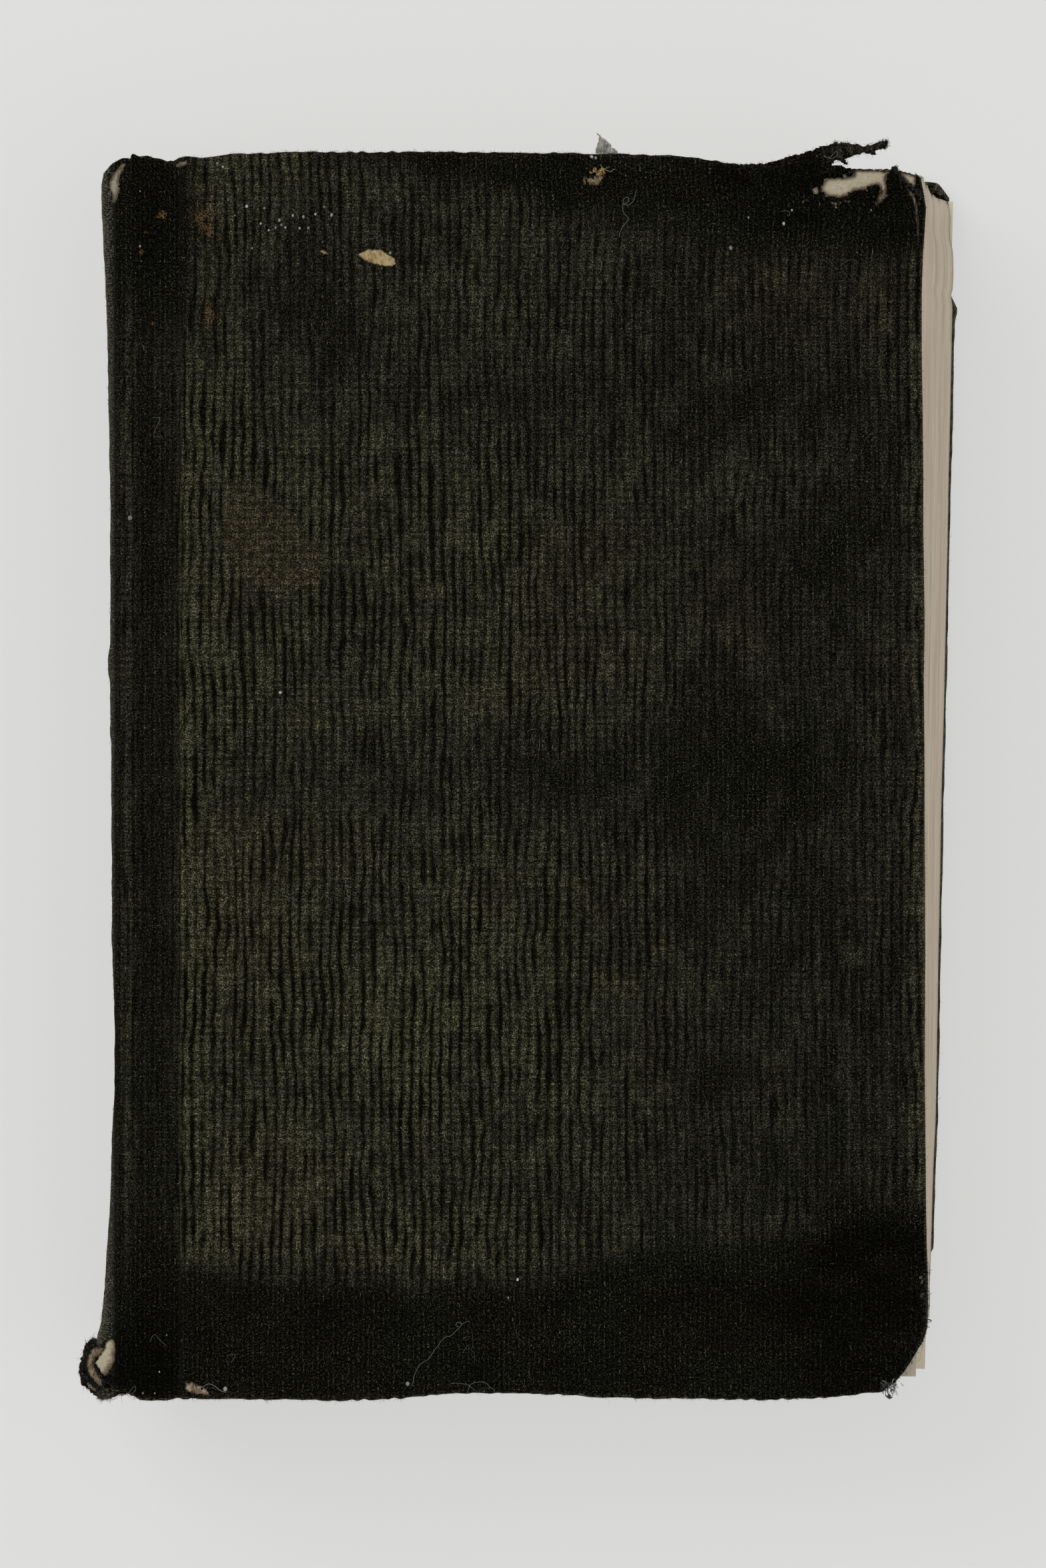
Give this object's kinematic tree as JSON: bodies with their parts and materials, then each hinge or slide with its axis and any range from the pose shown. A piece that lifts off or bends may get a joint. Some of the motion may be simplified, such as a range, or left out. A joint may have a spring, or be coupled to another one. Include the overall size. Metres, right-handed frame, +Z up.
{
  "type": "hardback book",
  "caption": "Worn clothbound hardback book with hinged covers, ribbed cloth, a rounded leaning spine and a cocked page block.",
  "frame": {"origin": "on the underside of the back cover, below the middle of the closed front cover and spine", "axes": "+X from the spine to the fore-edge, +Y from the tail to the head, +Z up from the back cover to the front cover"},
  "size_m": [0.1178, 0.1678, 0.0264],
  "materials": {
    "pages": "matte",
    "endpaper": "matte",
    "gauze": "matte",
    "lining_paper": "matte",
    "spine_card": "matte",
    "board": "matte",
    "cloth": "matte"
  },
  "bodies": {
    "block": {"text_block": "pages", "front_flyleaf": "endpaper", "back_flyleaf": "endpaper", "mull": "gauze", "spine_lining": "lining_paper", "spine_inlay": "spine_card", "spine_cloth": "cloth"},
    "front_cover": {"front_board": "board", "front_cloth": "cloth", "front_pastedown": "endpaper"},
    "back_cover": {"back_board": "board", "back_cloth": "cloth", "back_pastedown": "endpaper"}
  },
  "joints": [
    {"name": "front_cover_hinge", "type": "hinge", "parent": "block", "child": "front_cover", "pos_m": [-0.04985, 0, 0.0234], "axis": [0, -1, 0], "range_deg": [0, 180]},
    {"name": "back_cover_hinge", "type": "hinge", "parent": "block", "child": "back_cover", "pos_m": [-0.04578, 0.00129, 0.003], "axis": [0.0253, 0.9997, 0], "range_deg": [0, 180]}
  ]
}
